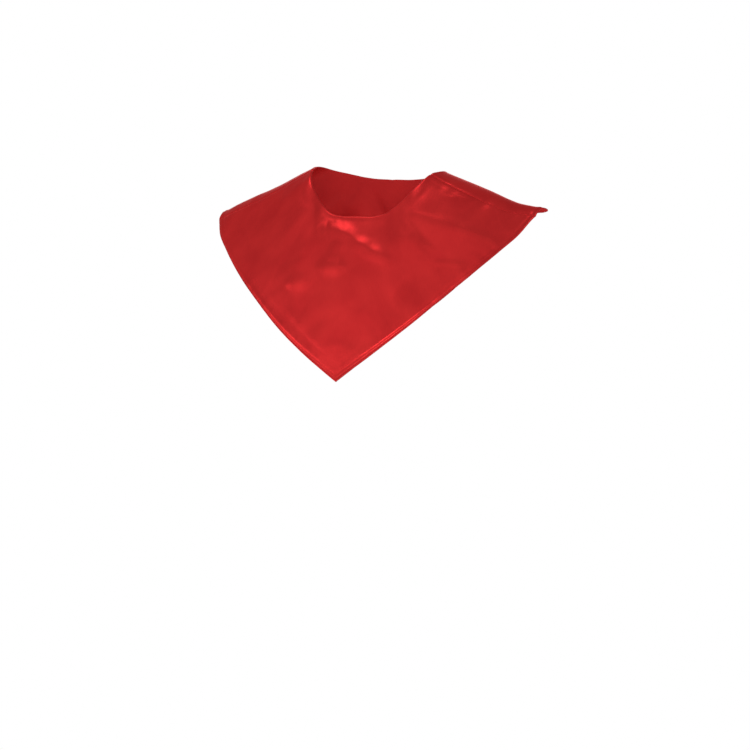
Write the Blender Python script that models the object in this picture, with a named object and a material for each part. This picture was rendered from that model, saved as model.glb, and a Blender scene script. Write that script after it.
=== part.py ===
"""A red satin choir stole with a V front and a V back, in the form it takes when it is worn.

Metres, +Z up. The wearer would face -Y, with the left shoulder at +X. The origin is the middle of the
neck opening, level with the top of the shoulders beside the neck. The cloth lies over a general figure,
described by upright sections, each at its own distance across from the centre line. A section rises from
chest level over the shoulder ridge and falls to the back. A place on the cloth is given by its distance
across and its turn, the angle from the ridge: positive in front, negative behind, a quarter turn at
chest level.
"""

import math

import bpy
import numpy as np

# Figure that the cloth lies over
CHEST_LEVEL = -0.250

# Cloth
WALL = 0.0020
EDGE_WALL = 0.0026
EDGE_BAND = 0.0045
SEAM_GAP = 0.0003
SEAM_BOW = 0.050

# How finely the panels are divided, and how much more finely where the cloth turns over the ridge
FRONT_COLUMNS = 64
FRONT_ROWS = 14
BACK_COLUMNS = 60
BACK_ROWS = 11
TURN_WEIGHT = 0.04
FINE_STEPS = 240

# Where a column runs close along the panel's outline, its edge rows are laid as if it met the outline at
# an angle with this sine.
LEAST_SLANT = 0.75

# height and top: how high the section's top is, and how far back it lies. chest and back: how far
# forward and how far back the section lies at chest level.
SECTION_COLUMNS = ("across", "height", "top", "chest", "back")
SECTIONS = (
    (0.000, 0.015, -0.004, 0.1080, 0.100),
    (0.040, 0.012, 0.001, 0.1050, 0.099),
    (0.068, 0.003, 0.009, 0.0998, 0.096),
    (0.090, -0.006, 0.008, 0.0935, 0.091),
    (0.115, -0.016, 0.007, 0.0860, 0.085),
    (0.145, -0.028, 0.007, 0.0755, 0.076),
    (0.175, -0.039, 0.009, 0.0630, 0.064),
    (0.205, -0.046, 0.011, 0.0420, 0.045),
)

# Inside the neck opening the front panel rises against the neck: its sections' tops lie further back by
# this much in the middle, and by less and less out to the neck's half width.
NECK_PUSH = 0.061
NECK_PUSH_HALF_WIDTH = 0.072
NECK_PUSH_ROUNDNESS = 2.2

# The cloth bridges the bends between the places that hold it, so its depth is eased across, over this
# reach to each side. The easing starts at the seams and at the neckline, and is full after these shares
# of the panel.
EASE_REACH = 0.028
EASE_STEPS = 13
EASE_FROM_SEAM = 0.14
EASE_FROM_NECK = 0.12

# The cloth rides a little higher on the right shoulder (-X) than on the left one.
LIFT_COLUMNS = ("place", "lift")
SHOULDER_LIFT = (
    (-0.200, 0.0008),
    (-0.165, 0.0040),
    (-0.120, 0.0030),
    (-0.080, 0.0050),
    (0.000, 0.0000),
    (0.080, -0.0035),
    (0.120, -0.0030),
    (0.165, -0.0043),
    (0.200, -0.0018),
)

# The neck opening and the hem, from the middle of each panel to the shoulder seam and over the ridge.
# side is 1 in front of the ridge, 0 on it and -1 behind it.
OUTLINE_COLUMNS = ("across", "height", "side")
NECKLINE_FRONT = (
    (0.000, -0.0545, 1),
    (0.018, -0.0545, 1),
    (0.033, -0.0515, 1),
    (0.0435, -0.0445, 1),
    (0.053, -0.0350, 1),
    (0.061, -0.0250, 1),
    (0.067, -0.0145, 1),
    (0.072, -0.0050, 1),
)
NECKLINE_BACK = (
    (0.000, -0.0100, -1),
    (0.026, -0.0090, -1),
    (0.050, -0.0060, -1),
    (0.070, -0.0020, -1),
    (0.0765, 0.0000, 0),
    (0.072, -0.0050, 1),
)
HEM_FRONT = (
    (0.000, -0.2380, 1),
    (0.016, -0.2264, 1),
    (0.049, -0.2020, 1),
    (0.083, -0.1745, 1),
    (0.113, -0.1470, 1),
    (0.142, -0.1195, 1),
    (0.168, -0.0920, 1),
    (0.184, -0.0735, 1),
    (0.195, -0.0545, 1),
)
HEM_BACK = (
    (0.000, -0.1700, -1),
    (0.016, -0.1590, -1),
    (0.048, -0.1375, -1),
    (0.082, -0.1125, -1),
    (0.115, -0.0905, -1),
    (0.146, -0.0705, -1),
    (0.172, -0.0547, -1),
    (0.187, -0.0487, -1),
    (0.196, -0.0488, -1),
    (0.2002, -0.0476, -1),
    (0.1975, -0.0450, 0),
    (0.195, -0.0545, 1),
)

# Cross-section of a finished edge, from its nose inwards
EDGE_COLUMNS = ("inset", "half_wall")
EDGE_PROFILE = (
    (0.0000, 0.0),
    (0.0008, 0.50 * EDGE_WALL),
    (EDGE_BAND - 0.0008, 0.50 * EDGE_WALL),
    (EDGE_BAND + 0.0006, 0.42 * WALL),
)

# Soft folds of the worn cloth. Each runs from one place to another, where it fades out and narrows. left
# and right are its half breadths on the two sides of its way, seen from outside. Its rise is below zero
# in a trough.
FOLD_COLUMNS = ("side", "from_across", "from_height", "to_across", "to_height", "left", "right", "rise")
FOLDS = (
    (1, -0.054, -0.055, 0.065, -0.113, 0.008, 0.011, 0.0019),
    (1, -0.073, -0.003, -0.045, -0.082, 0.006, 0.016, 0.0022),
    (1, -0.060, -0.054, -0.081, -0.124, 0.013, 0.013, -0.0015),
    (1, 0.064, -0.049, 0.172, -0.086, 0.007, 0.015, 0.0020),
    (1, 0.013, -0.064, 0.083, -0.014, 0.006, 0.014, 0.0020),
    (1, 0.063, -0.026, 0.178, -0.066, 0.009, 0.012, -0.0007),
    (1, 0.049, -0.068, 0.101, -0.110, 0.008, 0.009, 0.0009),
    (1, 0.090, -0.107, 0.147, -0.114, 0.007, 0.010, 0.0011),
    (1, -0.188, -0.058, -0.062, -0.055, 0.016, 0.016, -0.0014),
    (1, -0.043, -0.185, 0.026, -0.201, 0.016, 0.012, 0.0008),
    (1, 0.055, -0.153, 0.089, -0.103, 0.010, 0.014, 0.0008),
    (-1, 0.030, -0.024, 0.112, -0.084, 0.017, 0.012, 0.0026),
    (-1, -0.034, -0.020, -0.104, -0.082, 0.012, 0.016, 0.0024),
    (-1, 0.012, -0.040, -0.004, -0.158, 0.016, 0.019, -0.0022),
)
# How fast a fold rises from its ends, how much it narrows there, and how far off in depth it acts
FOLD_FADE = 2.5
FOLD_TAPER = 0.55
FOLD_DEPTH = 0.020

SATIN_RED = (0.50, 0.022, 0.028, 1.0)
SATIN_ROUGHNESS = 0.34


def values_of(rows, names, name):
    """One named column of a table, as an array."""
    return np.array([row[names.index(name)] for row in rows])


def hermite(share, gap, start, start_slope, end, end_slope):
    """A smooth step from start to end, where share runs from 0 to 1 over a gap."""
    rest = 1.0 - share
    near = (1.0 + 2.0 * share) * rest ** 2 * start + share * rest ** 2 * gap * start_slope
    far = (1.0 + 2.0 * rest) * share ** 2 * end - rest * share ** 2 * gap * end_slope
    return near + far


def smooth_read(places, values, where):
    """Read a smooth curve through a table's points. It is level at both ends and never overshoots."""
    gaps = np.diff(places)
    slopes = np.diff(values) / gaps
    lean = np.zeros(len(places))
    for i in range(1, len(places) - 1):
        before, after = slopes[i - 1], slopes[i]
        if before * after > 0.0:
            lean[i] = 2.0 * before * after / (before + after)
    where = np.clip(where, places[0], places[-1])
    i = np.clip(np.searchsorted(places, where, side="right") - 1, 0, len(gaps) - 1)
    share = (where - places[i]) / gaps[i]
    return hermite(share, gaps[i], values[i], lean[i], values[i + 1], lean[i + 1])


def section(name, across):
    """A value of the figure's sections at any distance across."""
    places = values_of(SECTIONS, SECTION_COLUMNS, "across")
    return smooth_read(places, values_of(SECTIONS, SECTION_COLUMNS, name), np.abs(across))


def shoulder_lift(across):
    """How much higher the cloth rides at a place than on an even pair of shoulders."""
    places = values_of(SHOULDER_LIFT, LIFT_COLUMNS, "place")
    return smooth_read(places, values_of(SHOULDER_LIFT, LIFT_COLUMNS, "lift"), across)


def figure_point(across, turn, panel):
    """The point of the figure at a distance across and a turn from the ridge."""
    depth = np.where(turn > 0.0, -section("chest", across), section("back", across))
    top = section("top", across)
    if panel == "front":
        outwards = np.clip(np.abs(across) / NECK_PUSH_HALF_WIDTH, 0.0, 1.0)
        top = top + NECK_PUSH * np.cos(0.5 * math.pi * outwards ** NECK_PUSH_ROUNDNESS) ** 2
    y = top + (depth - top) * np.abs(np.sin(turn))
    z = CHEST_LEVEL + (section("height", across) - CHEST_LEVEL) * np.cos(turn)
    return np.stack([across, y, z + shoulder_lift(across) * np.cos(turn) ** 2], axis=-1)


def smooth_step(share):
    """From 0 to 1, level at both ends."""
    share = np.clip(share, 0.0, 1.0)
    return share * share * (3.0 - 2.0 * share)


def eased_point(across, turn, panel, from_middle, share):
    """The point of the figure with its depth eased across. from_middle and share are the place on the
    panel: from its middle to its seam, and from its neckline to its hem."""
    point = figure_point(across, turn, panel)
    steps = np.linspace(-1.0, 1.0, EASE_STEPS)
    weights = 1.0 + np.cos(math.pi * steps)
    eased = np.zeros(across.shape)
    for weight, step in zip(weights / weights.sum(), steps):
        eased += weight * figure_point(across + EASE_REACH * step, turn, panel)[..., 1]
    amount = smooth_step((1.0 - from_middle) / EASE_FROM_SEAM) * smooth_step(share / EASE_FROM_NECK)
    point[..., 1] += amount * (eased - point[..., 1])
    return point


def turn_at(across, height, side):
    """The turn at which a section reaches a height."""
    share = (height - CHEST_LEVEL) / (section("height", across) - CHEST_LEVEL)
    return side * np.arccos(np.clip(share, -1.0, 1.0))


def travelled(steps):
    """Distance covered at each point, from the steps between the points."""
    return np.concatenate([[0.0], np.cumsum(steps)])


def outline(rows, panel, count):
    """Places (across, turn) on a smooth line through an outline's rows, spread over count steps."""
    across = values_of(rows, OUTLINE_COLUMNS, "across")
    height = values_of(rows, OUTLINE_COLUMNS, "height")
    turn = turn_at(across, height, values_of(rows, OUTLINE_COLUMNS, "side"))
    knots = np.stack([across, turn], axis=-1)
    gaps = np.linalg.norm(np.diff(figure_point(across, turn, panel), axis=0), axis=1)
    along = travelled(gaps)
    slopes = np.gradient(knots, along, axis=0)
    fine = np.linspace(0.0, along[-1], FINE_STEPS)
    i = np.clip(np.searchsorted(along, fine, side="right") - 1, 0, len(gaps) - 1)
    share = ((fine - along[i]) / gaps[i])[:, None]
    curve = hermite(share, gaps[i][:, None], knots[i], slopes[i], knots[i + 1], slopes[i + 1])
    points = figure_point(curve[:, 0], curve[:, 1], panel)
    steps = np.linalg.norm(np.diff(points, axis=0), axis=1) + TURN_WEIGHT * np.abs(np.diff(curve[:, 1]))
    covered = travelled(steps)
    wanted = np.linspace(0.0, covered[-1], count + 1)
    return np.stack([np.interp(wanted, covered, curve[:, k]) for k in (0, 1)], axis=-1)


def both_halves(rows, panel, columns):
    """A whole panel's outline, from the seam at -X to the seam at +X."""
    half = outline(rows, panel, columns // 2)
    mirrored = half[::-1] * (-1.0, 1.0)
    return np.concatenate([mirrored, half[1:]])


def figure_place(across, height, side):
    """The point of the figure at a distance across and a height, in front or behind."""
    place = np.array([across])
    return figure_point(place, turn_at(place, height, side), "front" if side > 0 else "back")[0]


def fold_rise(points, outward):
    """How far the folds lift the cloth off the figure at each point. outward is the way out of the
    cloth there. A fold acts only on cloth that lies close to it in depth."""
    rise = np.zeros(points.shape[:-1])
    for row in FOLDS:
        fold = dict(zip(FOLD_COLUMNS, row))
        start = figure_place(fold["from_across"], fold["from_height"], fold["side"])
        way = figure_place(fold["to_across"], fold["to_height"], fold["side"]) - start
        along = (points - start) @ way / (way @ way)
        beside = points - start - along[..., None] * way
        depth = np.sum(beside * outward, axis=-1)
        beside -= depth[..., None] * outward
        on_left = np.sum(beside * np.cross(outward, way), axis=-1) > 0.0
        fade = smooth_step(FOLD_FADE * np.minimum(along, 1.0 - along))
        width = np.where(on_left, fold["left"], fold["right"]) * (1.0 - FOLD_TAPER + FOLD_TAPER * fade)
        away = (np.linalg.norm(beside, axis=-1) / width) ** 2 + (depth / FOLD_DEPTH) ** 2
        rise += fold["rise"] * fade * np.exp(-away)
    return rise


def surface_normals(grid):
    """Unit normals of a grid of points, and the sine of the angle between its rows and columns. The
    middle column takes its neighbour's angle, because the hem turns a corner there."""
    down = np.gradient(grid, axis=1)
    across = np.gradient(grid, axis=0)
    down /= np.linalg.norm(down, axis=2, keepdims=True)
    across /= np.linalg.norm(across, axis=2, keepdims=True)
    normal = np.cross(across, down)
    length = np.linalg.norm(normal, axis=2)
    slant = length.copy()
    middle = grid.shape[0] // 2
    slant[middle] = length[middle - 1]
    return normal / length[..., None], slant


def middle_surface(panel, neckline, hem, columns, facing):
    """The middle of the cloth on a fine grid: a column of points from the neckline to the hem at each
    of the panel's columns."""
    inner = both_halves(neckline, panel, columns)
    outer = both_halves(hem, panel, columns)
    from_middle = np.abs(np.linspace(-1.0, 1.0, columns + 1))
    share = np.linspace(0.0, 1.0, FINE_STEPS)
    grid = np.zeros((columns + 1, FINE_STEPS, 3))
    for c in range(columns + 1):
        across = inner[c, 0] + (outer[c, 0] - inner[c, 0]) * share
        turn = inner[c, 1] + (outer[c, 1] - inner[c, 1]) * share
        turn += SEAM_BOW * from_middle[c] ** 3 * 4.0 * share * (1.0 - share)
        if c in (0, columns):
            reach = np.hypot(section("chest", across) * np.cos(turn), CHEST_LEVEL * np.sin(turn))
            turn += facing * 0.5 * SEAM_GAP / reach
        grid[c] = eased_point(across, turn, panel, from_middle[c], share)
    normals, _ = surface_normals(grid)
    outward = -facing * normals
    return grid + outward * fold_rise(grid, outward)[..., None]


def wall_stations(grid, slant, rows):
    """Where each column is cut into rows, as fractions of the fine grid, and half the wall there.
    The edge's rows keep their true distance from the edge wherever the column meets it at a wide angle."""
    insets = values_of(EDGE_PROFILE, EDGE_COLUMNS, "inset")
    edge_halves = values_of(EDGE_PROFILE, EDGE_COLUMNS, "half_wall")
    stations = []
    for points, lean in zip(grid, np.maximum(slant, LEAST_SLANT)):
        along = travelled(np.linalg.norm(np.diff(points, axis=0), axis=1))
        top = insets / lean[0]
        bottom = along[-1] - insets[::-1] / lean[-1]
        between = np.linspace(top[-1], bottom[0], rows + 2)[1:-1]
        stations.append(np.interp(np.concatenate([top, between, bottom]), along, np.arange(FINE_STEPS)))
    half_wall = np.concatenate([edge_halves, np.full(rows, 0.5 * WALL), edge_halves[::-1]])
    return np.array(stations), half_wall


def read_grid(grid, stations):
    """The points of a fine grid at fractional stations along each of its columns."""
    low = np.clip(np.floor(stations).astype(int), 0, grid.shape[1] - 2)
    share = (stations - low)[..., None]
    pick = np.arange(grid.shape[0])[:, None]
    return grid[pick, low] * (1.0 - share) + grid[pick, low + 1] * share


def wall_mesh(outer, inner, flip):
    """Vertices and faces of a closed wall. The outer and inner faces share the nose of each edge, and a
    flat strip closes the wall at each seam."""
    columns, rows = outer.shape[:2]
    vertices = [tuple(point) for point in outer.reshape(-1, 3)]
    outer_index = np.arange(columns * rows).reshape(columns, rows)
    inner_index = outer_index.copy()
    for c in range(columns):
        for r in range(1, rows - 1):
            inner_index[c, r] = len(vertices)
            vertices.append(tuple(inner[c, r]))
    faces = []
    for r in range(rows - 1):
        for c in range(columns - 1):
            for index, turned in ((outer_index, flip), (inner_index, not flip)):
                corners = (index[c, r], index[c + 1, r], index[c + 1, r + 1], index[c, r + 1])
                add_face(faces, corners, turned)
        for c, turned in ((0, flip), (columns - 1, not flip)):
            corners = (outer_index[c, r], outer_index[c, r + 1], inner_index[c, r + 1], inner_index[c, r])
            add_face(faces, corners, turned)
    return vertices, faces


def add_face(faces, corners, turned):
    """Add a face, without doubled corners and turned round where asked."""
    kept = [int(corner) for i, corner in enumerate(corners) if corner != corners[i - 1]]
    faces.append(kept[::-1] if turned else kept)


def build_panel(panel, neckline, hem, columns, rows, material):
    """One whole panel of the stole."""
    facing = 1.0 if panel == "front" else -1.0
    grid = middle_surface(panel, neckline, hem, columns, facing)
    normals, slant = surface_normals(grid)
    stations, half_wall = wall_stations(grid, slant, rows)
    centre = read_grid(grid, stations)
    offset = read_grid(normals, stations) * half_wall[:, None] * -facing
    vertices, faces = wall_mesh(centre + offset, centre - offset, facing > 0.0)
    mesh = bpy.data.meshes.new(panel + "_panel")
    mesh.from_pydata(vertices, [], faces)
    mesh.materials.append(material)
    mesh.shade_smooth()
    mesh.set_sharp_from_angle(angle=math.radians(50.0))
    piece = bpy.data.objects.new(panel + "_panel", mesh)
    bpy.context.scene.collection.objects.link(piece)


def make_satin():
    """Red satin, the same on both faces of the cloth."""
    material = bpy.data.materials.new("red_satin")
    material.use_nodes = True
    shader = material.node_tree.nodes["Principled BSDF"]
    shader.inputs["Base Color"].default_value = SATIN_RED
    shader.inputs["Roughness"].default_value = SATIN_ROUGHNESS
    shader.inputs["Metallic"].default_value = 0.0
    return material


def main():
    for old in list(bpy.data.objects):
        bpy.data.objects.remove(old, do_unlink=True)
    satin = make_satin()
    build_panel("front", NECKLINE_FRONT, HEM_FRONT, FRONT_COLUMNS, FRONT_ROWS, satin)
    build_panel("back", NECKLINE_BACK, HEM_BACK, BACK_COLUMNS, BACK_ROWS, satin)


main()
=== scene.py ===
"""Looks of a red satin choir stole: its two panels of cloth, their pressed edges, seams and stitches.

Metres, +Z up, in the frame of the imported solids. The stole faces -Y, with its left shoulder at +X. Each
panel is a thin shell on its solid's form. It repeats the solid's sections and outlines, and adds the finer
creases, the rolled edges and the sewing.
"""
import math

import bpy
import numpy as np
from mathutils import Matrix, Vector, noise


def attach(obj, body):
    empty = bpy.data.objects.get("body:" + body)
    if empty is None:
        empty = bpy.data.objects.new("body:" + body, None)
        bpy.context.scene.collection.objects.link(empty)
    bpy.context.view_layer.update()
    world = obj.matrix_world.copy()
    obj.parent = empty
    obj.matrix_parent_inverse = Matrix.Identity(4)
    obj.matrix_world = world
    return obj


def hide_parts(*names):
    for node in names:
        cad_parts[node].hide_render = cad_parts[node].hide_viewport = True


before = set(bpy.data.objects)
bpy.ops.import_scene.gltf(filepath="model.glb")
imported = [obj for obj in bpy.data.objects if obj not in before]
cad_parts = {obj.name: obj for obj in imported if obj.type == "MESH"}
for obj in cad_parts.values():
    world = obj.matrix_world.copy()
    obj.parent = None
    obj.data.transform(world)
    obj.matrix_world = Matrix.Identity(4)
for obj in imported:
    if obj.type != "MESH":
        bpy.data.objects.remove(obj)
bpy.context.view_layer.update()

# Picture: the view's turn round the stole and its distance, how much of the stole a pixel spans, and the
# place of the stole's origin in the frame, in pixels. The sensor's width is in millimetres.
VIEW_TURN = math.radians(25.0)
VIEW_DISTANCE = 4.5
PIXEL = 0.00112
FRAME_PIXELS = 750
ORIGIN_PIXEL = (377.3, 169.5)
SENSOR = 36.0
CLIP_FAR = 100.0

# General figure that the cloth lies over, as in the solids. height and top: how high a section's top is, and
# how far back it lies. chest and back: how far forward and how far back the section lies at chest level.
CHEST_LEVEL = -0.250
SECTION_COLUMNS = ("across", "height", "top", "chest", "back")
SECTIONS = (
    (0.000, 0.015, -0.004, 0.1080, 0.100),
    (0.040, 0.012, 0.001, 0.1050, 0.099),
    (0.068, 0.003, 0.009, 0.0998, 0.096),
    (0.090, -0.006, 0.008, 0.0935, 0.091),
    (0.115, -0.016, 0.007, 0.0860, 0.085),
    (0.145, -0.028, 0.007, 0.0755, 0.076),
    (0.175, -0.039, 0.009, 0.0630, 0.064),
    (0.205, -0.046, 0.011, 0.0420, 0.045),
)

# Inside the neck opening the tops of the front's sections lie further back by this much in the middle, and
# by less and less out to the neck's half width.
NECK_PUSH = 0.061
NECK_PUSH_HALF_WIDTH = 0.072
NECK_PUSH_ROUNDNESS = 2.2

# The cloth rides a little higher on the right shoulder (-X) than on the left one.
LIFT_COLUMNS = ("place", "lift")
SHOULDER_LIFT = (
    (-0.200, 0.0008),
    (-0.165, 0.0040),
    (-0.120, 0.0030),
    (-0.080, 0.0050),
    (0.000, 0.0000),
    (0.080, -0.0035),
    (0.120, -0.0030),
    (0.165, -0.0043),
    (0.200, -0.0018),
)

# Neck opening and hem, from the middle of each panel to the shoulder seam, as in the solids. side is 1 in
# front of the shoulder ridge, 0 on it and -1 behind it.
OUTLINE_COLUMNS = ("across", "height", "side")
NECKLINE = {
    "front": (
        (0.000, -0.0545, 1),
        (0.018, -0.0545, 1),
        (0.033, -0.0515, 1),
        (0.0435, -0.0445, 1),
        (0.053, -0.0350, 1),
        (0.061, -0.0250, 1),
        (0.067, -0.0145, 1),
        (0.072, -0.0050, 1),
    ),
    "back": (
        (0.000, -0.0100, -1),
        (0.026, -0.0090, -1),
        (0.050, -0.0060, -1),
        (0.070, -0.0020, -1),
        (0.0765, 0.0000, 0),
        (0.072, -0.0050, 1),
    ),
}
HEM = {
    "front": (
        (0.000, -0.2380, 1),
        (0.016, -0.2264, 1),
        (0.049, -0.2020, 1),
        (0.083, -0.1745, 1),
        (0.113, -0.1470, 1),
        (0.142, -0.1195, 1),
        (0.168, -0.0920, 1),
        (0.184, -0.0735, 1),
        (0.195, -0.0545, 1),
    ),
    "back": (
        (0.000, -0.1700, -1),
        (0.016, -0.1590, -1),
        (0.048, -0.1375, -1),
        (0.082, -0.1125, -1),
        (0.115, -0.0905, -1),
        (0.146, -0.0705, -1),
        (0.172, -0.0547, -1),
        (0.187, -0.0487, -1),
        (0.196, -0.0488, -1),
        (0.2002, -0.0476, -1),
        (0.1975, -0.0450, 0),
        (0.195, -0.0545, 1),
    ),
}

# Halfway along, a shoulder seam bows this far to the front, in radians of turn.
SEAM_BOW = 0.050

# The cloth bridges the bends between the places that hold it, so its depth is eased across, over this reach
# to each side. The easing starts at the seams and at the neckline, and is full after these shares of the
# panel.
EASE_REACH = 0.028
EASE_STEPS = 13
EASE_FROM_SEAM = 0.14
EASE_FROM_NECK = 0.12

# Large soft folds of the worn cloth, as in the solids. Each runs from one place (across, height) to
# another, where it fades out and narrows. left and right are its half breadths on the two sides of its
# way, seen from outside. Its rise is below zero in a trough.
FOLD_COLUMNS = ("side", "from_across", "from_height", "to_across", "to_height", "left", "right", "rise")
FOLDS = (
    (1, -0.054, -0.055, 0.065, -0.113, 0.008, 0.011, 0.0019),
    (1, -0.073, -0.003, -0.045, -0.082, 0.006, 0.016, 0.0022),
    (1, -0.060, -0.054, -0.081, -0.124, 0.013, 0.013, -0.0015),
    (1, 0.064, -0.049, 0.172, -0.086, 0.007, 0.015, 0.0020),
    (1, 0.013, -0.064, 0.083, -0.014, 0.006, 0.014, 0.0020),
    (1, 0.063, -0.026, 0.178, -0.066, 0.009, 0.012, -0.0007),
    (1, 0.049, -0.068, 0.101, -0.110, 0.008, 0.009, 0.0009),
    (1, 0.090, -0.107, 0.147, -0.114, 0.007, 0.010, 0.0011),
    (1, -0.188, -0.058, -0.062, -0.055, 0.016, 0.016, -0.0014),
    (1, -0.043, -0.185, 0.026, -0.201, 0.016, 0.012, 0.0008),
    (1, 0.055, -0.153, 0.089, -0.103, 0.010, 0.014, 0.0008),
    (-1, 0.030, -0.024, 0.112, -0.084, 0.017, 0.012, 0.0026),
    (-1, -0.034, -0.020, -0.104, -0.082, 0.012, 0.016, 0.0024),
    (-1, 0.012, -0.040, -0.004, -0.158, 0.016, 0.019, -0.0022),
)
# How fast a fold rises from its ends, how much it narrows there, and how far off in depth it acts
FOLD_FADE = 2.5
FOLD_TAPER = 0.55
FOLD_DEPTH = 0.020

# Finer creases, in the same columns
CREASES = (
    (1, -0.0366, -0.0560, -0.0261, -0.0853, 0.0030, 0.0025, -0.0004),
    (1, -0.0500, -0.0560, -0.0260, -0.0700, 0.0045, 0.0110, -0.0008),
    (1, -0.0270, -0.0870, 0.0020, -0.0910, 0.0060, 0.0130, 0.0007),
    (1, -0.0400, -0.1105, 0.0060, -0.1130, 0.0110, 0.0090, 0.0027),
    (1, -0.0720, -0.1520, 0.0120, -0.2250, 0.0120, 0.0100, 0.0011),
    (1, -0.0770, -0.1300, -0.0350, -0.1270, 0.0100, 0.0090, 0.0017),
    (1, -0.0477, -0.0640, 0.0130, -0.0804, 0.0130, 0.0080, 0.0016),
    (1, -0.0261, -0.0584, -0.0135, -0.0706, 0.0022, 0.0026, 0.00025),
    (1, -0.0140, -0.0605, -0.0011, -0.0750, 0.0024, 0.0030, 0.00022),
    (1, 0.0053, -0.0715, 0.0171, -0.0861, 0.0030, 0.0026, -0.0002),
    (1, 0.0220, -0.0816, 0.0344, -0.0950, 0.0034, 0.0030, -0.00025),
    (1, -0.0100, -0.0800, 0.0600, -0.1070, 0.0110, 0.0090, 0.0015),
    (1, 0.0560, -0.0510, 0.1070, -0.0950, 0.0070, 0.0060, -0.0009),
    (1, 0.0935, -0.0295, 0.1325, -0.0350, 0.0032, 0.0038, 0.0006),
    (1, -0.0225, -0.2010, 0.0235, -0.2020, 0.0080, 0.0060, 0.0008),
    (1, -0.1480, -0.0640, -0.1120, -0.1040, 0.0070, 0.0090, -0.0007),
    (1, -0.0900, -0.1120, -0.0520, -0.0960, 0.0080, 0.0060, -0.0006),
    (1, -0.1080, -0.0340, -0.1500, -0.0560, 0.0060, 0.0080, -0.0005),
    (1, 0.0200, -0.1700, 0.0560, -0.1420, 0.0090, 0.0120, 0.0005),
    (-1, 0.0640, -0.0260, 0.1160, -0.0640, 0.0070, 0.0090, -0.0010),
    (-1, -0.0580, -0.0240, -0.0980, -0.0560, 0.0055, 0.0080, 0.0009),
    (-1, -0.0300, -0.0160, -0.0160, -0.0700, 0.0080, 0.0060, -0.0008),
    (-1, 0.0240, -0.0140, 0.0400, -0.0520, 0.0050, 0.0070, 0.0008),
    (-1, 0.0100, -0.0900, -0.0180, -0.1400, 0.0080, 0.0100, 0.0008),
    (-1, -0.1040, -0.0400, -0.1560, -0.0540, 0.0080, 0.0060, 0.0008),
    (-1, 0.1200, -0.0420, 0.1600, -0.0560, 0.0060, 0.0080, -0.0007),
)

# Cloth. The shell's outer face is the solid's, and its inner face lies closer to it than the solid's does.
OUTER_OFFSET = 0.0010
CLOTH = 0.0012

# Unevenness of soft cloth: how large its patches are and how high they rise, and how much finer and
# fainter its second layer is. Creases and unevenness die down to a least share over CALM_REACH from the hem.
ROUGH_PATCH = 0.030
ROUGH_RISE = 0.00045
ROUGH_FINER = 2.3
ROUGH_FINER_SHARE = 0.4
CALM_REACH = 0.006
CALM_LEAST = 0.35

# Puckers beside the sewing: how far from it they lie and reach, how high they rise, and their waves,
# each with its own start
PUCKER_INSET = 0.004
PUCKER_REACH = 0.009
PUCKER_RISE = 0.00008
PUCKER_WAVES = (0.0131, 0.0187, 0.0293)
PUCKER_START = 900.0

# How an edge is finished, from its nose inwards: how far the outer face stands above its own level. The
# hem's stitches lie in the groove of its roll.
EDGE_COLUMNS = ("inset", "rise")
PRESSED_HEM = (
    (0.0000, -0.0003),
    (0.0003, 0.0004),
    (0.0007, 0.0006),
    (0.0013, 0.0004),
    (0.0021, 0.0000),
    (0.0029, -0.0004),
    (0.0036, -0.0003),
    (0.0046, 0.0002),
    (0.0056, 0.0008),
    (0.0066, 0.0012),
    (0.0080, 0.0013),
    (0.0106, 0.0008),
    (0.0160, 0.0000),
)
# The hem's roll is full at a panel's point and fades over this reach, down to this least size.
HEM_ROLL_REACH = 0.110
HEM_ROLL_LEAST = 0.5
HEM_STITCH_INSET = 0.0029
ROLLED_NECKLINE = (
    (0.0000, -0.0013),
    (0.0002, -0.0007),
    (0.0006, -0.0002),
    (0.0012, 0.0002),
    (0.0022, 0.0004),
    (0.0032, 0.0003),
    (0.0046, 0.0000),
    (0.0080, 0.0000),
)
# The seam's valley fades between these shares of the way to the shoulder's tip, down to this least depth.
SEAM_VALLEY_FROM = 0.30
SEAM_VALLEY_TO = 0.60
SEAM_VALLEY_LEAST = 0.35
SEAM_VALLEY = (
    (0.0000, -0.0009),
    (0.0003, -0.0005),
    (0.0007, -0.0002),
    (0.0013, 0.0001),
    (0.0030, 0.0003),
    (0.0065, 0.0002),
    (0.0100, 0.0000),
)
# How much of an edge's rise its inner face shares
INNER_ROLL = 0.35

# How finely the shells are divided, and how much more finely where the cloth turns over the ridge.
# SEAM_PLACES: columns beside a seam, as shares of the way from it to the middle. LEAST_SLANT: where a
# column runs close along an edge, its edge rows are laid as if it met the edge at an angle with this sine.
# CLOTH_STEPS: how many places along a line are read to measure it on the cloth.
COLUMNS = {"front": 300, "back": 260}
ROWS = {"front": 84, "back": 66}
SEAM_PLACES = (0.0, 0.0010, 0.0025, 0.0045, 0.0070, 0.0110, 0.0160)
FINE_STEPS = 400
TURN_WEIGHT = 0.04
LEAST_SLANT = 0.75
CLOTH_STEPS = 25

# Stitches: their pitch, length and half thickness, how far their middles stand off the cloth, and how
# round each one is made
STITCH_PITCH = 0.0026
STITCH_LENGTH = 0.0021
STITCH_THREAD = 0.00016
STITCH_LIFT = 0.00002
STITCH_SIDES = 8
STITCH_RINGS = 6

# How far apart nodes stand in a tree's drawing
NODE_STEPS = (220.0, -180.0)

# Finishes
SATIN_RED = (0.62, 0.028, 0.028, 1.0)
SATIN_SHADE = (0.50, 0.019, 0.021, 1.0)
SHEEN_RED = (1.0, 0.16, 0.14, 1.0)
THREAD_RED = (0.62, 0.030, 0.030, 1.0)
FLOOR_WHITE = (0.86, 0.86, 0.86, 1.0)
FLOOR_DARKER = 0.985
FLOOR_PATCHES = 0.8

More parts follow.
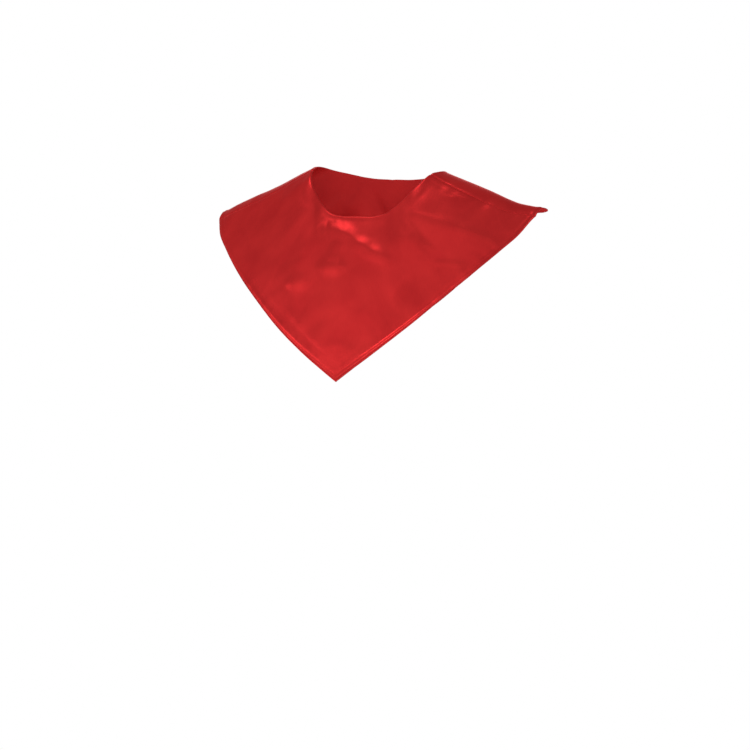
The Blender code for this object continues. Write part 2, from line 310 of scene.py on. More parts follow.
# Uneven tone and thread grain: how much detail their clouds have, and which part of the clouds' values is
# spread over the whole mask
TONE_DETAIL = 2.0
TONE_SPREAD = (0.30, 0.70)
GRAIN_DETAIL = 3.0
GRAIN_SPREAD = (0.35, 0.65)

# Satin: threads and their runs in each metre, patches of tone in each metre, how much of the depth of
# colour each gives, its weave, and its gloss from the deeper tone to the paler
SATIN_THREADS = 2600.0
SATIN_RUNS = 130.0
SATIN_PATCHES = 26.0
SATIN_THREAD_SHARE = 0.35
SATIN_PATCH_SHARE = 0.65
SATIN_WEAVE_STRENGTH = 0.25
SATIN_WEAVE_HEIGHT = 0.00006
SATIN_ROUGHNESS = (0.30, 0.38)
SATIN_SETTINGS = {
    "Metallic": 0.60,
    "Specular IOR Level": 0.12,
    "Anisotropic": 0.15,
    "Specular Tint": SHEEN_RED,
    "Sheen Weight": 0.05,
    "Sheen Roughness": 0.4,
    "Sheen Tint": SHEEN_RED,
}
THREAD_FIBRES = 9000.0
THREAD_RUNS = 5000.0
THREAD_SETTINGS = {"Roughness": 0.42, "Metallic": 0.2}
FLOOR_SETTINGS = {"Roughness": 0.9, "Specular IOR Level": 0.1}

# Studio. The floor turns into the white of the air between FLOOR_NEAR and FLOOR_FAR, measured from the
# stole's origin. AIR_WHITE is the air's strength where it is seen, and AIR_LIGHT where it lights the
# cloth. The lights are aimed at the height LIGHT_AIM. A light's turn and rise are in degrees, and its
# power is in watts.
FLOOR_LEVEL = -0.95
FLOOR_RADIUS = 12.0
FLOOR_SIDES = 96
FLOOR_NEAR = 0.75
FLOOR_FAR = 2.6
AIR_WHITE = 1.0
AIR_LIGHT = 0.44
LIGHT_AIM = -0.1
LIGHT_COLUMNS = ("name", "turn", "rise", "distance", "size", "power")
LIGHTS = (
    ("key_light", -76.0, 73.0, 3.0, 1.3, 15.0),
    ("soft_front_light", -21.0, 30.0, 3.0, 2.0, 3.9),
    ("low_front_light", -25.0, 6.0, 3.0, 1.3, 4.2),
    ("side_fill", -60.0, -4.0, 3.0, 1.3, 14.0),
    ("front_fill", 16.0, -12.0, 3.0, 1.3, 28.0),
    ("near_light", 12.0, 36.0, 3.0, 1.3, 2.6),
    ("back_fill", 200.0, 8.0, 3.4, 2.4, 14.0),
)


def values_of(rows, names, name):
    """One named column of a table, as an array."""
    return np.array([row[names.index(name)] for row in rows], dtype=float)


def curve_between(share, gap, start, start_slope, end, end_slope):
    """A smooth curve from start to end, with its slopes there, where share runs from 0 to 1 over a gap."""
    rest = 1.0 - share
    near = (1.0 + 2.0 * share) * rest ** 2 * start + share * rest ** 2 * gap * start_slope
    far = (1.0 + 2.0 * rest) * share ** 2 * end - rest * share ** 2 * gap * end_slope
    return near + far


def smooth_read(places, values, where):
    """Read a smooth curve through a table's points. It is level at both ends and never overshoots."""
    gaps = np.diff(places)
    slopes = np.diff(values) / gaps
    lean = np.zeros(len(places))
    for i in range(1, len(places) - 1):
        before, after = slopes[i - 1], slopes[i]
        if before * after > 0.0:
            lean[i] = 2.0 * before * after / (before + after)
    where = np.clip(where, places[0], places[-1])
    i = np.clip(np.searchsorted(places, where, side="right") - 1, 0, len(gaps) - 1)
    share = (where - places[i]) / gaps[i]
    return curve_between(share, gaps[i], values[i], lean[i], values[i + 1], lean[i + 1])


def section(name, across):
    """A value of the figure's sections at any distance across."""
    places = values_of(SECTIONS, SECTION_COLUMNS, "across")
    return smooth_read(places, values_of(SECTIONS, SECTION_COLUMNS, name), np.abs(across))


def figure_point(across, turn, panel):
    """The point of the figure at a distance across and a turn from the shoulder ridge."""
    depth = np.where(turn > 0.0, -section("chest", across), section("back", across))
    top = section("top", across)
    if panel == "front":
        outwards = np.clip(np.abs(across) / NECK_PUSH_HALF_WIDTH, 0.0, 1.0)
        top = top + NECK_PUSH * np.cos(0.5 * math.pi * outwards ** NECK_PUSH_ROUNDNESS) ** 2
    places = values_of(SHOULDER_LIFT, LIFT_COLUMNS, "place")
    lift = smooth_read(places, values_of(SHOULDER_LIFT, LIFT_COLUMNS, "lift"), across)
    y = top + (depth - top) * np.abs(np.sin(turn))
    z = CHEST_LEVEL + (section("height", across) - CHEST_LEVEL) * np.cos(turn) + lift * np.cos(turn) ** 2
    return np.stack([across, y, z], axis=-1)


def turn_at(across, height, side):
    """The turn at which a section reaches a height."""
    share = (height - CHEST_LEVEL) / (section("height", across) - CHEST_LEVEL)
    return side * np.arccos(np.clip(share, -1.0, 1.0))


def length_of(points):
    """Distance travelled along a line of points, at each of them."""
    steps = np.linalg.norm(np.diff(points, axis=0), axis=1)
    return np.concatenate([[0.0], np.cumsum(steps)])


def column_places(count):
    """Places from the middle of a panel (0) to its seam (1), closer together beside the seam."""
    even = np.linspace(0.0, 1.0 - SEAM_PLACES[-1], count - len(SEAM_PLACES) + 2)
    return np.concatenate([even[:-1], 1.0 - np.array(SEAM_PLACES[::-1])])


def outline(rows, panel, places):
    """Points (across, turn) on a smooth line through an outline's rows, at places from 0 to 1 along it."""
    across = values_of(rows, OUTLINE_COLUMNS, "across")
    height = values_of(rows, OUTLINE_COLUMNS, "height")
    turn = turn_at(across, height, values_of(rows, OUTLINE_COLUMNS, "side"))
    knots = np.stack([across, turn], axis=-1)
    gaps = np.linalg.norm(np.diff(figure_point(across, turn, panel), axis=0), axis=1)
    along = np.concatenate([[0.0], np.cumsum(gaps)])
    slopes = np.gradient(knots, along, axis=0)
    fine = np.linspace(0.0, along[-1], FINE_STEPS)
    i = np.clip(np.searchsorted(along, fine, side="right") - 1, 0, len(gaps) - 1)
    share = ((fine - along[i]) / gaps[i])[:, None]
    curve = curve_between(share, gaps[i][:, None], knots[i], slopes[i], knots[i + 1], slopes[i + 1])
    covered = length_of(figure_point(curve[:, 0], curve[:, 1], panel))
    covered += TURN_WEIGHT * np.concatenate([[0.0], np.cumsum(np.abs(np.diff(curve[:, 1])))])
    wanted = places * covered[-1]
    return np.stack([np.interp(wanted, covered, curve[:, k]) for k in (0, 1)], axis=-1)


def both_halves(rows, panel, count):
    """A whole panel's outline, from the seam at -X to the seam at +X."""
    half = outline(rows, panel, column_places(count // 2))
    return np.concatenate([half[::-1] * (-1.0, 1.0), half[1:]])


def figure_place(across, height, side):
    """The point of the figure at a distance across and a height, in front or behind."""
    place = np.array([across])
    return figure_point(place, turn_at(place, height, side), "front" if side > 0 else "back")[0]


def smooth_step(share):
    """From 0 to 1, level at both ends."""
    share = np.clip(share, 0.0, 1.0)
    return share * share * (3.0 - 2.0 * share)


def eased_point(across, turn, panel, from_middle, share):
    """The point of the figure with its depth eased across, as cloth bridges a bend between the places
    that hold it: not at the seams, and not at the neckline."""
    point = figure_point(across, turn, panel)
    steps = np.linspace(-1.0, 1.0, EASE_STEPS)
    weights = 1.0 + np.cos(math.pi * steps)
    eased = sum(w * figure_point(across + EASE_REACH * step, turn, panel)[..., 1]
                for w, step in zip(weights, steps)) / weights.sum()
    amount = smooth_step((1.0 - from_middle) / EASE_FROM_SEAM) * smooth_step(share / EASE_FROM_NECK)
    point[..., 1] += amount * (eased - point[..., 1])
    return point


def fold_rise(rows, points, outward):
    """How far a table's folds lift the cloth at each point. outward is the way out of the cloth
    there. A fold acts only on cloth that lies close to it in depth."""
    rise = np.zeros(points.shape[:-1])
    for row in rows:
        fold = dict(zip(FOLD_COLUMNS, row))
        start = figure_place(fold["from_across"], fold["from_height"], fold["side"])
        way = figure_place(fold["to_across"], fold["to_height"], fold["side"]) - start
        along = (points - start) @ way / (way @ way)
        beside = points - start - along[..., None] * way
        depth = np.sum(beside * outward, axis=-1)
        beside -= depth[..., None] * outward
        on_left = np.sum(beside * np.cross(outward, way), axis=-1) > 0.0
        fade = smooth_step(FOLD_FADE * np.minimum(along, 1.0 - along))
        width = np.where(on_left, fold["left"], fold["right"]) * (1.0 - FOLD_TAPER + FOLD_TAPER * fade)
        away = (np.linalg.norm(beside, axis=-1) / width) ** 2 + (depth / FOLD_DEPTH) ** 2
        rise += fold["rise"] * fade * np.exp(-away)
    return rise


def uneven_rise(points):
    """The slight unevenness of soft cloth, the same where two panels meet."""
    flat = points.reshape(-1, 3) / ROUGH_PATCH
    coarse = np.array([noise.noise(Vector(point)) for point in flat])
    fine = np.array([noise.noise(Vector(point * ROUGH_FINER)) for point in flat])
    return ROUGH_RISE * (coarse + ROUGH_FINER_SHARE * fine).reshape(points.shape[:-1])


def unit(vectors):
    """Vectors at a length of 1."""
    return vectors / np.linalg.norm(vectors, axis=-1, keepdims=True)


def surface_normals(grid):
    """Unit normals of a grid of points."""
    return unit(np.cross(unit(np.gradient(grid, axis=0)), unit(np.gradient(grid, axis=1))))


def edge_slants(grid):
    """For each column, the sine of its angle to the panel's outline at each end, or a least one where the
    outline turns along it. The middle column takes its neighbour's, because the outline turns a corner
    there."""
    slants = []
    for row, next_row in ((0, 1), (-1, -2)):
        run = unit(np.gradient(grid[:, row], axis=0))
        fall = unit(grid[:, next_row] - grid[:, row])
        slants.append(np.maximum(np.linalg.norm(np.cross(run, fall), axis=1), LEAST_SLANT))
        middle = grid.shape[0] // 2
        slants[-1][middle] = slants[-1][middle - 1]
    return slants


def read_columns(grid, places):
    """The values of a fine grid at places along each of its columns."""
    steps = np.arange(grid.shape[1])
    read = [[np.interp(row, steps, column[:, k]) for row, column in zip(places, grid)]
            for k in range(grid.shape[2])]
    return np.moveaxis(np.array(read), 0, -1)


def profile(rows, inset):
    """How far a finished edge stands above its own level at a distance from the edge."""
    return smooth_read(values_of(rows, EDGE_COLUMNS, "inset"), values_of(rows, EDGE_COLUMNS, "rise"), inset)


class Panel:
    """One panel's surface: points with their distance from each edge, their normals and cloth places."""

    def __init__(self, name):
        self.name = name
        self.facing = 1.0 if name == "front" else -1.0
        self.lay_over_figure()
        self.cut_rows()
        self.raise_cloth()

    def lay_over_figure(self):
        """A fine grid from the neckline to the hem, in places (across, turn) and in points."""
        columns = COLUMNS[self.name]
        inner = both_halves(NECKLINE[self.name], self.name, columns)
        outer = both_halves(HEM[self.name], self.name, columns)
        half = column_places(columns // 2)
        from_middle = np.concatenate([half[::-1], half[1:]])[:, None]
        share = np.linspace(0.0, 1.0, FINE_STEPS)
        across = inner[:, :1] + (outer[:, :1] - inner[:, :1]) * share
        turn = inner[:, 1:] + (outer[:, 1:] - inner[:, 1:]) * share
        turn = turn + SEAM_BOW * from_middle ** 3 * 4.0 * share * (1.0 - share)
        self.fine = np.stack([across, turn], axis=-1)
        self.fine_points = eased_point(across, turn, self.name, from_middle, share)

    def cut_rows(self):
        """Cut each column into rows, close together at the edges and at a true distance from them."""
        points = self.fine_points
        top_slant, hem_slant = edge_slants(points)
        top_insets = values_of(ROLLED_NECKLINE, EDGE_COLUMNS, "inset")
        hem_insets = values_of(PRESSED_HEM, EDGE_COLUMNS, "inset")
        places, top, hem, run = [], [], [], []
        for column, top_lean, hem_lean in zip(points, top_slant, hem_slant):
            along = length_of(column)
            start = top_insets / top_lean
            end = along[-1] - hem_insets[::-1] / hem_lean
            between = np.linspace(start[-1], end[0], ROWS[self.name] + 2)[1:-1]
            wanted = np.concatenate([start, between, end])
            places.append(np.interp(wanted, along, np.arange(FINE_STEPS)))
            top.append(wanted * top_lean)
            hem.append((along[-1] - wanted) * hem_lean)
            run.append(wanted)
        self.from_neckline, self.from_hem, self.down = np.array(top), np.array(hem), np.array(run)
        self.places = read_columns(self.fine, places)
        self.figure = read_columns(self.fine_points, places)
        self.from_seam = np.minimum(self.distance_from_seam(0), self.distance_from_seam(-1))

    def distance_from_seam(self, column):
        """Each point's distance from the seam at one end of the panel."""
        seam = self.figure[column]
        run = unit(np.gradient(seam, axis=0))
        away = self.figure - seam
        return np.linalg.norm(away - np.sum(away * run, axis=-1)[..., None] * run, axis=-1)

    def raise_cloth(self):
        """Raise folds, creases and edges on the figure, to give the outer and inner faces."""
        outward = -self.facing * surface_normals(self.figure)
        middle = self.figure + outward * fold_rise(FOLDS, self.figure, outward)[..., None]
        rise = fold_rise(CREASES, self.figure, outward) + uneven_rise(self.figure) + self.pucker_rise()
        rise *= np.clip(self.from_hem / CALM_REACH, CALM_LEAST, 1.0)
        self.normals = -self.facing * surface_normals(middle)
        level = middle + self.normals * (OUTER_OFFSET + rise)[..., None]
        roll = self.hem_roll()
        hem = roll * profile(PRESSED_HEM, self.from_hem / roll)
        level = level + self.normals * np.minimum(hem, 0.0)[..., None]
        edges = (
            np.maximum(hem, 0.0)
            + profile(ROLLED_NECKLINE, self.from_neckline)
            + self.seam_depth() * profile(SEAM_VALLEY, self.from_seam)
        )
        self.outer = level + self.normals * np.maximum(edges, -CLOTH)[..., None]
        self.inner = level - self.normals * (CLOTH + INNER_ROLL * np.maximum(edges, 0.0))[..., None]
        for row in (0, -1):
            nose = 0.5 * (self.outer[:, row] + self.inner[:, row])
            self.outer[:, row] = nose
            self.inner[:, row] = nose

    def seam_depth(self):
        """How deep the seam's valley lies: full beside the neck, and flatter towards the shoulder's tip."""
        along = self.down / self.down[:, -1:]
        fading = smooth_step((along - SEAM_VALLEY_FROM) / (SEAM_VALLEY_TO - SEAM_VALLEY_FROM))
        return 1.0 - (1.0 - SEAM_VALLEY_LEAST) * fading

    def hem_roll(self):
        """How full the hem's roll is: full at the panel's point, and flatter towards the shoulders."""
        along_hem = length_of(self.figure[:, -1])
        from_point = along_hem - along_hem[len(along_hem) // 2]
        fading = np.exp(-(from_point / HEM_ROLL_REACH) ** 2)
        return (HEM_ROLL_LEAST + (1.0 - HEM_ROLL_LEAST) * fading)[:, None]

    def pucker_rise(self):
        """Small puckers drawn up by the sewing along the hem and the shoulder seams."""
        along_hem = length_of(self.figure[:, -1])[:, None]
        along_seam = self.down
        rise = np.zeros(self.figure.shape[:-1])
        for distance, along in ((self.from_hem, along_hem), (self.from_seam, along_seam)):
            waves = sum(np.sin(2.0 * math.pi * along / wave + PUCKER_START * wave) for wave in PUCKER_WAVES)
            rise = rise + PUCKER_RISE * waves * np.exp(-((distance - PUCKER_INSET) / PUCKER_REACH) ** 2)
        return rise

    def cloth_places(self):
        """Places on the flat cloth in metres: along the shoulder ridge's line, and down from it."""
        across, turn = self.places[..., 0], self.places[..., 1]
        shares = np.linspace(0.0, 1.0, CLOTH_STEPS)
        width = np.zeros(across.shape)
        drop = np.zeros(across.shape)
        for a, b in zip(shares[:-1], shares[1:]):
            width += np.linalg.norm(
                figure_point(across * b, turn, self.name) - figure_point(across * a, turn, self.name), axis=-1
            )
            drop += np.linalg.norm(
                figure_point(across, turn * b, self.name) - figure_point(across, turn * a, self.name), axis=-1
            )
        return np.stack([np.sign(across) * width, -np.sign(turn) * drop], axis=-1)

    def stitch_line(self, inset, face):
        """Points and normals along the hem, in the groove of its roll, on the outer or the inner face."""
        grid = self.outer if face > 0 else self.inner
        points, normals = [], []
        for distance, column, normal in zip(self.from_hem / self.hem_roll(), grid, self.normals):
            order = np.argsort(distance)
            points.append([np.interp(inset, distance[order], column[order, k]) for k in range(3)])
            normals.append([np.interp(inset, distance[order], face * normal[order, k]) for k in range(3)])
        return np.array(points), unit(np.array(normals))


def shell_mesh(panel):
    """The panel's closed shell. Its faces share the noses of the edges, and strips close it at the seams."""
    columns, rows = panel.outer.shape[:2]
    outer_index = np.arange(columns * rows).reshape(columns, rows)
    inner_index = outer_index.copy()
    inner_index[:, 1:-1] = columns * rows + np.arange(columns * (rows - 2)).reshape(columns, rows - 2)
    vertices = np.concatenate([panel.outer.reshape(-1, 3), panel.inner[:, 1:-1].reshape(-1, 3)])
    faces = []
    for index, turned in ((outer_index, panel.facing > 0), (inner_index, panel.facing < 0)):
        corners = np.stack([index[:-1, :-1], index[1:, :-1], index[1:, 1:], index[:-1, 1:]], axis=-1)
        corners = corners.reshape(-1, 4)
        faces += (corners[:, ::-1] if turned else corners).tolist()
    for column, turned in ((0, panel.facing > 0), (columns - 1, panel.facing < 0)):
        for r in range(rows - 1):
            a, b = outer_index[column, r], outer_index[column, r + 1]
            c, d = inner_index[column, r + 1], inner_index[column, r]
            corners = [int(corner) for corner in dict.fromkeys((a, b, c, d))]
            faces.append(corners[::-1] if turned else corners)
    mesh = bpy.data.meshes.new(panel.name + "_cloth")
    mesh.from_pydata([tuple(point) for point in vertices], [], faces)
    cloth = panel.cloth_places()
    flat = np.concatenate([cloth.reshape(-1, 2), cloth[:, 1:-1].reshape(-1, 2)])
    layer = mesh.uv_layers.new(name="cloth")
    corner_vertices = np.zeros(len(mesh.loops), dtype=np.int32)
    mesh.loops.foreach_get("vertex_index", corner_vertices)
    layer.data.foreach_set("uv", flat[corner_vertices].astype(np.float32).ravel())
    mesh.shade_smooth()
    return mesh, flat


def sew_panel(name, satin):
    """One panel of the stole, standing for its solid."""
    panel = Panel(name)
    mesh, flat = shell_mesh(panel)
    mesh.materials.append(satin)
    piece = bpy.data.objects.new(name + "_cloth", mesh)
    bpy.context.scene.collection.objects.link(piece)
    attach(piece, "root")
    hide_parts(name + "_panel")
    area = 0.5 * sum(face.area for face in mesh.polygons)
    size = flat.max(axis=0) - flat.min(axis=0)
    return panel, piece, area, size


def add_node(tree, kind, place, **settings):
    """A node of a tree at a place in its drawing, with its own settings."""
    node = tree.nodes.new(kind)
    node.location = (NODE_STEPS[0] * place[0], NODE_STEPS[1] * place[1])
    for name, value in settings.items():
        setattr(node, name, value)
    return node


def set_inputs(node, settings):
    """Constant settings on a node's own sockets."""
    for name, value in settings.items():
        node.inputs[name].default_value = value


def stitch_tree(thread):
    """Geometry nodes that lay stitches along a line: a rounded thread at each step, turned along the line
    and flat on the cloth."""
    tree = bpy.data.node_groups.new("row_of_stitches", "GeometryNodeTree")
    sockets = {"Line": "NodeSocketGeometry"}
    sockets.update({name: "NodeSocketFloat" for name in ("Pitch", "Length", "Thread", "Lift")})
    for name, kind in sockets.items():
        tree.interface.new_socket(name=name, in_out="INPUT", socket_type=kind)
    tree.interface.new_socket(name="Stitches", in_out="OUTPUT", socket_type="NodeSocketGeometry")
    given = add_node(tree, "NodeGroupInput", (0, 0))
    line = add_node(tree, "GeometryNodeMeshToCurve", (1, 0))
    steps = add_node(tree, "GeometryNodeResampleCurve", (2, 0))
    steps.mode = "LENGTH"
    facing = add_node(tree, "GeometryNodeInputNamedAttribute", (1, 2), data_type="FLOAT_VECTOR")
    facing.inputs["Name"].default_value = "cloth_normal"
    tangent = add_node(tree, "GeometryNodeInputTangent", (1, 3))
    along = add_node(tree, "FunctionNodeAlignRotationToVector", (2, 3), axis="X")
    upright = add_node(tree, "FunctionNodeAlignRotationToVector", (3, 3), axis="Z", pivot_axis="X")
    ball = add_node(tree, "GeometryNodeMeshUVSphere", (2, 1))
    set_inputs(ball, {"Segments": STITCH_SIDES, "Rings": STITCH_RINGS, "Radius": 1.0})
    half = add_node(tree, "ShaderNodeMath", (1, 5), operation="MULTIPLY")
    half.inputs[1].default_value = 0.5
    shape = add_node(tree, "ShaderNodeCombineXYZ", (2, 5))
    lifted = add_node(tree, "ShaderNodeVectorMath", (3, 5), operation="SCALE")
    thread_balls = add_node(tree, "GeometryNodeTransform", (3, 1))
    seat = add_node(tree, "GeometryNodeSetPosition", (3, 0))
    laid = add_node(tree, "GeometryNodeInstanceOnPoints", (4, 0))
    real = add_node(tree, "GeometryNodeRealizeInstances", (5, 0))
    smooth = add_node(tree, "GeometryNodeSetShadeSmooth", (6, 0))
    finish = add_node(tree, "GeometryNodeSetMaterial", (7, 0))
    finish.inputs["Material"].default_value = thread
    out = add_node(tree, "NodeGroupOutput", (8, 0))
    for start, end in (
        (given.outputs["Line"], line.inputs["Mesh"]),
        (line.outputs["Curve"], steps.inputs["Curve"]),
        (given.outputs["Pitch"], steps.inputs["Length"]),
        (steps.outputs["Curve"], seat.inputs["Geometry"]),
        (facing.outputs["Attribute"], lifted.inputs["Vector"]),
        (given.outputs["Lift"], lifted.inputs["Scale"]),
        (lifted.outputs["Vector"], seat.inputs["Offset"]),
        (tangent.outputs["Tangent"], along.inputs["Vector"]),
        (along.outputs["Rotation"], upright.inputs["Rotation"]),
        (facing.outputs["Attribute"], upright.inputs["Vector"]),
        (given.outputs["Length"], half.inputs[0]),
        (half.outputs["Value"], shape.inputs["X"]),
        (given.outputs["Thread"], shape.inputs["Y"]),
        (given.outputs["Thread"], shape.inputs["Z"]),
        (ball.outputs["Mesh"], thread_balls.inputs["Geometry"]),
        (shape.outputs["Vector"], thread_balls.inputs["Scale"]),
        (seat.outputs["Geometry"], laid.inputs["Points"]),
        (thread_balls.outputs["Geometry"], laid.inputs["Instance"]),
        (upright.outputs["Rotation"], laid.inputs["Rotation"]),
        (laid.outputs["Instances"], real.inputs["Geometry"]),
        (real.outputs["Geometry"], smooth.inputs["Geometry"]),
        (smooth.outputs["Geometry"], finish.inputs["Geometry"]),
        (finish.outputs["Geometry"], out.inputs["Stitches"]),
    ):
        tree.links.new(start, end)
    return tree


def sew_stitches(panel, tree, thread):
    """The row of stitches that holds a pressed hem, on both faces of the cloth."""
    name = panel.name + "_hem_stitches"
    lines = [panel.stitch_line(HEM_STITCH_INSET, face) for face in (1.0, -1.0)]
    points = np.concatenate([line[0] for line in lines])
    normals = np.concatenate([line[1] for line in lines])
    count = len(lines[0][0])
    edges = [(i, i + 1) for i in range(2 * count - 1) if i != count - 1]
    mesh = bpy.data.meshes.new(name + "_line")
    mesh.from_pydata([tuple(point) for point in points], edges, [])
    facing = mesh.attributes.new("cloth_normal", "FLOAT_VECTOR", "POINT")
    facing.data.foreach_set("vector", normals.astype(np.float32).ravel())
    line = bpy.data.objects.new(name + "_line", mesh)
    bpy.context.scene.collection.objects.link(line)
    sewing = line.modifiers.new("sewing", "NODES")
    sewing.node_group = tree
    sizes = {"Pitch": STITCH_PITCH, "Length": STITCH_LENGTH, "Thread": STITCH_THREAD, "Lift": STITCH_LIFT}
    for socket in tree.interface.items_tree:
        if socket.name in sizes:
            sewing[socket.identifier] = sizes[socket.name]
    graph = bpy.context.evaluated_depsgraph_get()
    made = bpy.data.meshes.new_from_object(line.evaluated_get(graph), depsgraph=graph)
    made.name = name
    made.materials.clear()
    made.materials.append(thread)
    piece = bpy.data.objects.new(name, made)
    bpy.context.scene.collection.objects.link(piece)
    bpy.data.objects.remove(line, do_unlink=True)
    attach(piece, "root")
    return piece


def new_group(name, inputs, outputs):
    """A shader node group with named inputs and outputs."""
    tree = bpy.data.node_groups.new(name, "ShaderNodeTree")
    for socket, kind in inputs:
        tree.interface.new_socket(name=socket, in_out="INPUT", socket_type=kind)
    for socket, kind in outputs:
        tree.interface.new_socket(name=socket, in_out="OUTPUT", socket_type=kind)
    return tree, add_node(tree, "NodeGroupInput", (0, 0)), add_node(tree, "NodeGroupOutput", (7, 0))


def uneven_tone_group():
    """Slow changes over a surface, as a mask from 0 to 1."""
    inputs = (("Place", "NodeSocketVector"), ("Patches", "NodeSocketFloat"))
    tree, given, out = new_group("uneven_tone", inputs, (("Mask", "NodeSocketFloat"),))
    clouds = add_node(tree, "ShaderNodeTexNoise", (2, 0))
    clouds.inputs["Detail"].default_value = TONE_DETAIL
    spread = add_node(tree, "ShaderNodeMapRange", (4, 0))
    set_inputs(spread, {"From Min": TONE_SPREAD[0], "From Max": TONE_SPREAD[1]})
    tree.links.new(given.outputs["Place"], clouds.inputs["Vector"])
    tree.links.new(given.outputs["Patches"], clouds.inputs["Scale"])
    tree.links.new(clouds.outputs["Fac"], spread.inputs["Value"])
    tree.links.new(spread.outputs["Result"], out.inputs["Mask"])
    return tree


def thread_grain_group():
    """Long fine threads that lie side by side: their height, and a mask of paler threads."""
    inputs = (("Place", "NodeSocketVector"), ("Threads", "NodeSocketFloat"), ("Runs", "NodeSocketFloat"))
    outputs = (("Height", "NodeSocketFloat"), ("Paler", "NodeSocketFloat"))
    tree, given, out = new_group("thread_grain", inputs, outputs)
    apart = add_node(tree, "ShaderNodeSeparateXYZ", (1, 0))
    side = add_node(tree, "ShaderNodeMath", (2, 0), operation="MULTIPLY")
    down = add_node(tree, "ShaderNodeMath", (2, 1), operation="MULTIPLY")
    grid = add_node(tree, "ShaderNodeCombineXYZ", (3, 0))
    streaks = add_node(tree, "ShaderNodeTexNoise", (4, 0))
    set_inputs(streaks, {"Scale": 1.0, "Detail": GRAIN_DETAIL})
    spread = add_node(tree, "ShaderNodeMapRange", (5, 1))
    set_inputs(spread, {"From Min": GRAIN_SPREAD[0], "From Max": GRAIN_SPREAD[1]})
    for start, end in (
        (given.outputs["Place"], apart.inputs["Vector"]),
        (apart.outputs["X"], side.inputs[0]),
        (given.outputs["Threads"], side.inputs[1]),
        (apart.outputs["Y"], down.inputs[0]),
        (given.outputs["Runs"], down.inputs[1]),
        (side.outputs["Value"], grid.inputs["X"]),
        (down.outputs["Value"], grid.inputs["Y"]),
        (grid.outputs["Vector"], streaks.inputs["Vector"]),
        (streaks.outputs["Fac"], out.inputs["Height"]),
        (streaks.outputs["Fac"], spread.inputs["Value"]),
        (spread.outputs["Result"], out.inputs["Paler"]),
    ):
        tree.links.new(start, end)
    return tree


def new_material(name):
    """A material with its shader node."""
    material = bpy.data.materials.new(name)
    material.use_nodes = True
    return material, material.node_tree, material.node_tree.nodes["Principled BSDF"]


def use_group(tree, group, place, **values):
    """A shared group placed in a material, with its own values."""
    node = add_node(tree, "ShaderNodeGroup", place, node_tree=group)
    set_inputs(node, values)
    return node


def mixed_colour(tree, place, mask, first, second):
    """A colour between two, by a mask."""
    mix = add_node(tree, "ShaderNodeMix", place, data_type="RGBA")
    tree.links.new(mask, mix.inputs["Factor"])
    mix.inputs["A"].default_value = first
    mix.inputs["B"].default_value = second
    return mix.outputs["Result"]


def satin_material(grain, tone):
    """Smooth red satin: fine threads down the cloth, a coloured sheen, and slow changes of depth."""
    material, tree, shader = new_material("red_satin_cloth")
    cloth = add_node(tree, "ShaderNodeUVMap", (-6, 0), uv_map="cloth")
    threads = use_group(tree, grain, (-4, 0), Threads=SATIN_THREADS, Runs=SATIN_RUNS)
    patches = use_group(tree, tone, (-4, 2), Patches=SATIN_PATCHES)
    tree.links.new(cloth.outputs["UV"], threads.inputs["Place"])
    tree.links.new(cloth.outputs["UV"], patches.inputs["Place"])
    depth = add_node(tree, "ShaderNodeMath", (-3, 1), operation="MULTIPLY_ADD")
    depth.inputs[1].default_value = SATIN_THREAD_SHARE
    tree.links.new(threads.outputs["Paler"], depth.inputs[0])
    share = add_node(tree, "ShaderNodeMath", (-3, 2), operation="MULTIPLY")
    share.inputs[1].default_value = SATIN_PATCH_SHARE
    tree.links.new(patches.outputs["Mask"], share.inputs[0])
    tree.links.new(share.outputs["Value"], depth.inputs[2])
    colour = mixed_colour(tree, (-2, 0), depth.outputs["Value"], SATIN_SHADE, SATIN_RED)
    tree.links.new(colour, shader.inputs["Base Color"])
    gloss = add_node(tree, "ShaderNodeMapRange", (-2, 2))
    set_inputs(gloss, {"To Min": SATIN_ROUGHNESS[0], "To Max": SATIN_ROUGHNESS[1]})
    tree.links.new(depth.outputs["Value"], gloss.inputs["Value"])
    tree.links.new(gloss.outputs["Result"], shader.inputs["Roughness"])
    weave = add_node(tree, "ShaderNodeBump", (-1, 3))
    set_inputs(weave, {"Strength": SATIN_WEAVE_STRENGTH, "Distance": SATIN_WEAVE_HEIGHT})
    tree.links.new(threads.outputs["Height"], weave.inputs["Height"])
    tree.links.new(weave.outputs["Normal"], shader.inputs["Normal"])
    run = add_node(tree, "ShaderNodeTangent", (-1, 4), direction_type="UV_MAP", uv_map="cloth")
    tree.links.new(run.outputs["Tangent"], shader.inputs["Tangent"])
    set_inputs(shader, SATIN_SETTINGS)
    return material


def thread_material(grain):
    """Polyester sewing thread in the cloth's red."""
    material, tree, shader = new_material("red_thread")
    place = add_node(tree, "ShaderNodeTexCoord", (-5, 0))
    fibres = use_group(tree, grain, (-4, 0), Threads=THREAD_FIBRES, Runs=THREAD_RUNS)
    tree.links.new(place.outputs["Object"], fibres.inputs["Place"])
    colour = mixed_colour(tree, (-2, 0), fibres.outputs["Paler"], SATIN_SHADE, THREAD_RED)
    tree.links.new(colour, shader.inputs["Base Color"])
    set_inputs(shader, THREAD_SETTINGS)
    return material


